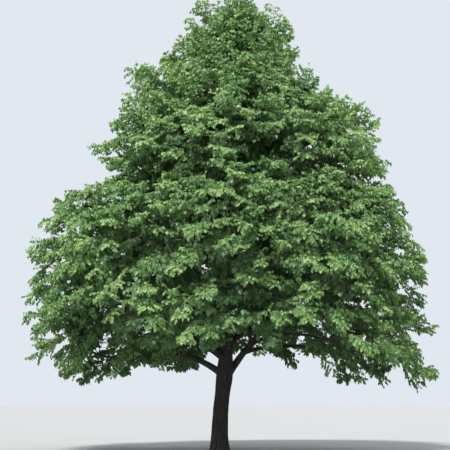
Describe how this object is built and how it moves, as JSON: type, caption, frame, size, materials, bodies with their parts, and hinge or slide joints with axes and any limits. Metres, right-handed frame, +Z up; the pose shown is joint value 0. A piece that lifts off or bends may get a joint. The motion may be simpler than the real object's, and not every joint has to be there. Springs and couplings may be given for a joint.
{
  "type": "small-leaved linden tree",
  "caption": "Free-standing broadleaf tree: a leaning, flared trunk with a low fork, ascending boughs and a broad, dense, rounded cone of heart-leaved sprays, cut flat at the ground.",
  "frame": {"origin": "middle of the flat cut under the trunk, at ground level", "axes": "+Z up; +X to the right as the picture sees the tree, the way the trunk leans; +Y away from the camera, into the picture"},
  "size_m": [13.4576, 13.4411, 14.9427],
  "materials": {
    "bark": "rough, ridged grey-brown bark",
    "leaf": "satin leaf, deep to yellow green"
  },
  "bodies": {
    "root": {"trunk": "bark", "bough_01": "bark", "bough_02": "bark", "bough_03": "bark", "bough_04": "bark", "bough_05": "bark", "bough_06": "bark", "bough_07": "bark", "bough_08": "bark", "bough_09": "bark", "bough_10": "bark", "bough_11": "bark", "bough_12": "bark", "bough_13": "bark", "bough_14": "bark", "bough_15": "bark", "bough_16": "bark", "bough_17": "bark", "bough_18": "bark", "bough_19": "bark", "bough_20": "bark", "bough_21": "bark", "bough_22": "bark", "bough_23": "bark", "bough_24": "bark", "bough_25": "bark", "bough_26": "bark", "bough_27": "bark", "bough_28": "bark", "foliage_01": "leaf", "foliage_02": "leaf", "foliage_03": "leaf", "foliage_04": "leaf", "foliage_05": "leaf", "foliage_06": "leaf", "foliage_07": "leaf", "foliage_08": "leaf", "foliage_09": "leaf", "foliage_10": "leaf", "foliage_11": "leaf", "foliage_12": "leaf", "foliage_13": "leaf", "foliage_14": "leaf", "foliage_15": "leaf", "foliage_16": "leaf", "foliage_17": "leaf", "foliage_18": "leaf", "foliage_19": "leaf", "foliage_20": "leaf", "foliage_21": "leaf", "foliage_22": "leaf", "foliage_23": "leaf", "foliage_24": "leaf", "foliage_25": "leaf", "foliage_26": "leaf", "foliage_27": "leaf", "foliage_28": "leaf", "foliage_29": "leaf"}
  },
  "joints": []
}
